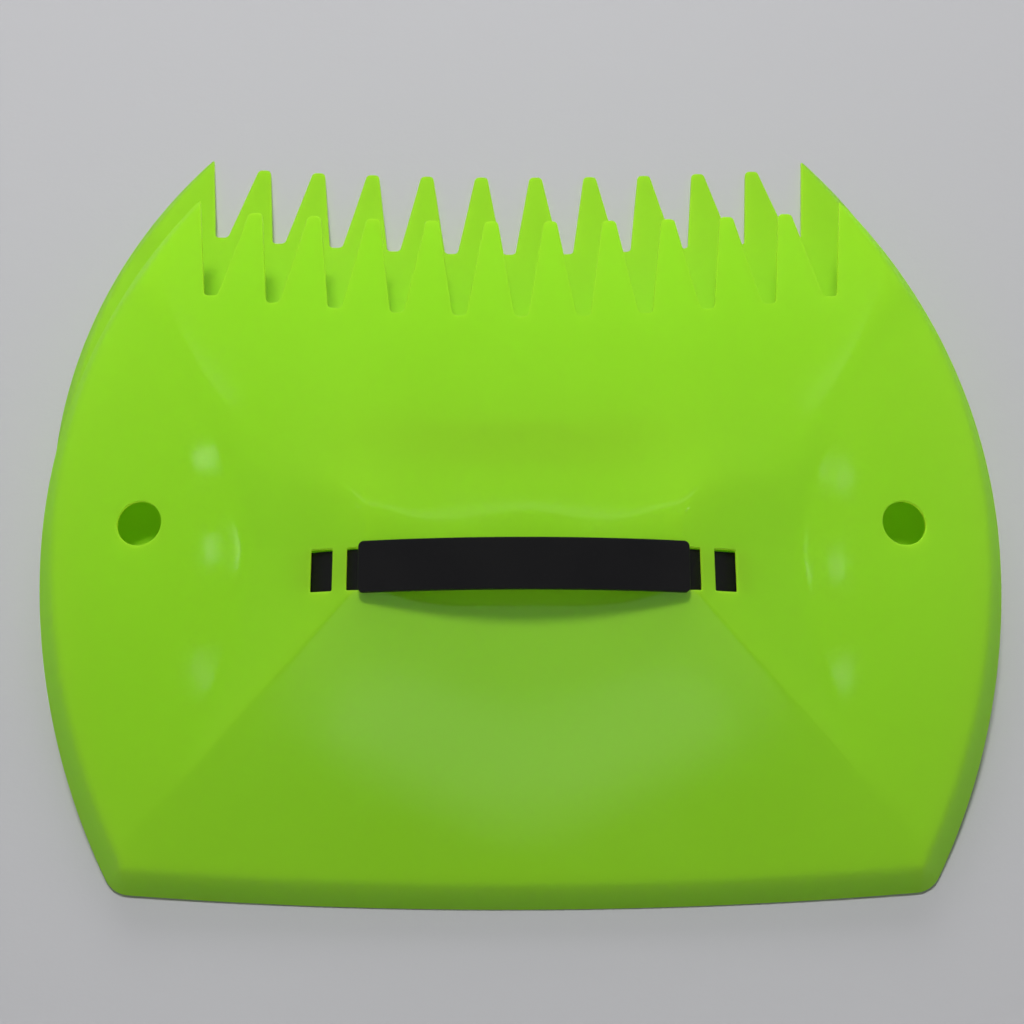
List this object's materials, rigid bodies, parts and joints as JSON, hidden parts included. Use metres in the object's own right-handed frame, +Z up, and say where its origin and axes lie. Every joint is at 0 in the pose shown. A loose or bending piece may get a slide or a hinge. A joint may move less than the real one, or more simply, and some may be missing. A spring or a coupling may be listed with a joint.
{
  "type": "leaf grabber hands",
  "caption": "Stacked pair of toothed, saddle-shaped plastic leaf scoops, each with a bowed strap handle snapped into slots on its ridge.",
  "frame": {"origin": "centre of the pair's bounding box, on the ground that both scoops stand on", "axes": "+X across the scoops, +Y towards the teeth, +Z up"},
  "size_m": [0.3712, 0.3206, 0.0645],
  "materials": {
    "green_shell": "lime-green injection-moulded polypropylene, semi-gloss, slightly translucent",
    "black_strap": "black flexible plastic, fine satin grain"
  },
  "bodies": {
    "lower_scoop": {"lower_shell": "green_shell", "lower_strap_handle": "black_strap"},
    "upper_scoop": {"upper_shell": "green_shell", "upper_strap_handle": "black_strap"}
  },
  "joints": [
    {"name": "upper_lift", "type": "slide", "parent": "lower_scoop", "child": "upper_scoop", "axis": [0, 0, 1], "range_m": [0, 0.08]}
  ]
}
